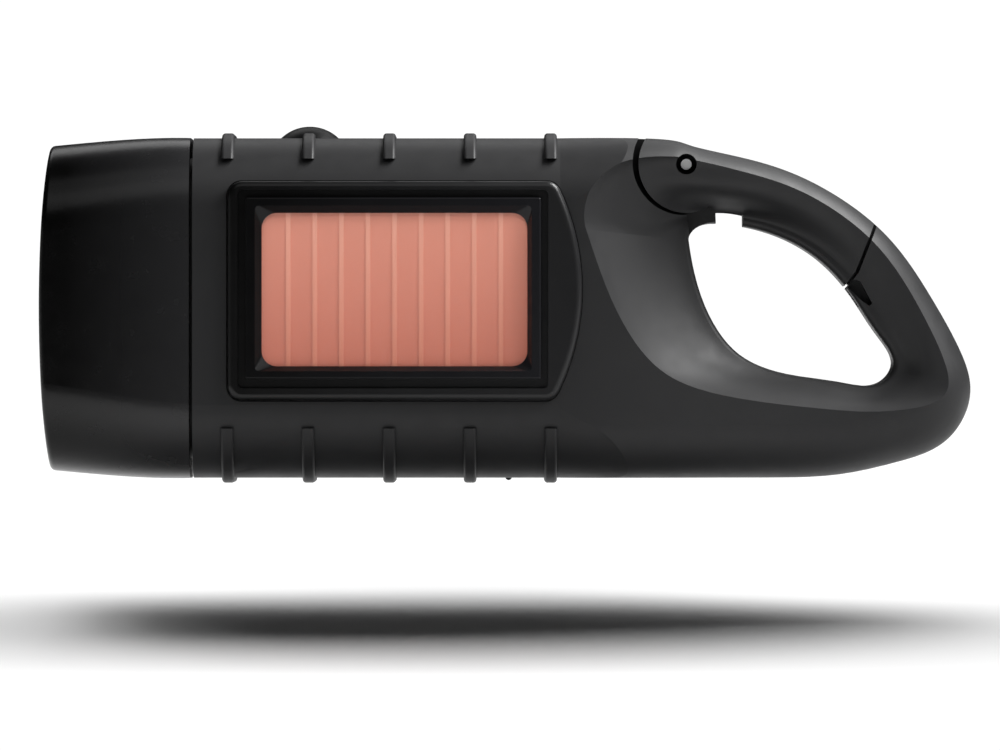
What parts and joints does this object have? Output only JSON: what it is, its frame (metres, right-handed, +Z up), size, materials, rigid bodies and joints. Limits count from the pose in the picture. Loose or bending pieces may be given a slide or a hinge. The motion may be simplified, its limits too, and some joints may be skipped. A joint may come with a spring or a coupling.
{
  "type": "solar and hand-crank torch with carabiner clip",
  "caption": "Ribbed pocket torch with a solar panel on its side, a folding hand crank behind, a push button on top and a sprung carabiner gate.",
  "frame": {"origin": "middle of the footprint, on the surface that the lower ribs stand on", "axes": "+X from the lamp head to the clip, -Y is the solar panel's side, +Z up"},
  "size_m": [0.14, 0.0436, 0.0537],
  "materials": {
    "case": "satin",
    "head": "gloss",
    "bezel": "satin gloss",
    "button": "satin",
    "crank": "satin",
    "window": "clear",
    "lens": "clear",
    "cell": "satin, copper-red solar film",
    "fingers": "satin",
    "reflector": "mirror",
    "led": "clear resin",
    "board": "solder mask",
    "chip": "matte",
    "plunger": "matte",
    "sleeve": "shrink sleeve",
    "battery": "shrink sleeve",
    "foam": "foam",
    "steel": "ground",
    "lamination": "pressed",
    "copper": "enamelled wire",
    "magnet": "ferrite",
    "gear": "natural acetal",
    "bush": "turned",
    "lead": "insulation"
  },
  "bodies": {
    "torch": {"front_shell": "case", "back_shell": "case", "head_bezel": "head", "solar_bezel": "bezel", "panel_frame": "bezel", "lens_seal": "button", "panel_window": "window", "front_lens": "lens", "solar_cell": "cell", "cell_fingers": "fingers", "reflector": "reflector", "leds": "led", "led_board": "board", "switch_board": "board", "main_board": "board", "port_board": "board", "control_chip": "chip", "rectifier_diodes": "chip", "switch_body": "chip", "capacitor": "sleeve", "battery": "battery", "battery_pad": "foam", "gate_pin": "steel", "gate_spring": "steel", "button_spring": "steel", "shell_screws": "steel", "gear_plate_screws": "steel", "step_axle": "steel", "charge_socket": "steel", "battery_tabs": "steel", "stator_core": "lamination", "dynamo_cover": "lamination", "stator_coil": "copper", "gear_plate": "gear", "crank_bushing": "bush", "battery_leads": "lead", "cell_leads": "lead", "coil_leads": "lead", "led_leads": "lead", "switch_leads": "lead", "port_leads": "lead"},
    "crank": {"crank_spindle": "steel", "crank_gear": "gear", "crank_arm": "crank", "hub_screw": "steel", "knob_pin": "steel"},
    "knob_foot": {"knob_stem": "crank"},
    "knob": {"crank_knob": "crank"},
    "step_wheel": {"step_gear": "gear"},
    "rotor": {"rotor_shaft": "steel", "rotor_magnet": "magnet", "rotor_pinion": "gear"},
    "button": {"push_button": "button", "switch_plunger": "plunger"},
    "gate_arm": {"gate": "case"},
    "outlet_flap": {"port_cover": "button"}
  },
  "joints": [
    {"name": "crank_spin", "type": "hinge", "parent": "torch", "child": "crank", "pos_m": [-0.017, 0.0157, 0.0264], "axis": [0, 1, 0], "continuous": true},
    {"name": "knob_fold", "type": "hinge", "parent": "crank", "child": "knob_foot", "pos_m": [0.0015, 0.0188, 0.0264], "axis": [0, 0, -1], "range_deg": [0, 90]},
    {"name": "knob_spin", "type": "hinge", "parent": "knob_foot", "child": "knob", "pos_m": [-0.0055, 0.0188, 0.0264], "axis": [1, 0, 0], "continuous": true},
    {"name": "step_spin", "type": "hinge", "parent": "torch", "child": "step_wheel", "pos_m": [-0.02891, 0.0071, 0.03327], "axis": [0, 1, 0], "continuous": true},
    {"name": "rotor_spin", "type": "hinge", "parent": "torch", "child": "rotor", "pos_m": [-0.03108, 0.0051, 0.02097], "axis": [0, 1, 0], "continuous": true},
    {"name": "button_press", "type": "slide", "parent": "torch", "child": "button", "axis": [0, 0, -1], "range_m": [0, 0.0007], "stiffness_N_per_m": 1500, "springref_m": -0.0004, "deforming": ["button_spring"]},
    {"name": "gate_hinge", "type": "hinge", "parent": "torch", "child": "gate_arm", "pos_m": [0.02694, -0.0029, 0.04781], "axis": [0, 1, 0], "range_deg": [0, 20], "stiffness_Nm_per_rad": 0.05, "springref_deg": -14.32, "deforming": ["gate_spring"]},
    {"name": "flap_hinge", "type": "hinge", "parent": "torch", "child": "outlet_flap", "pos_m": [-0.0029, -0.0029, 0.0014], "axis": [0, 1, 0], "range_deg": [0, 75]}
  ],
  "couplings": [
    {"joint": "step_spin", "follows": "crank_spin", "ratio": -4},
    {"joint": "rotor_spin", "follows": "crank_spin", "ratio": 16}
  ]
}
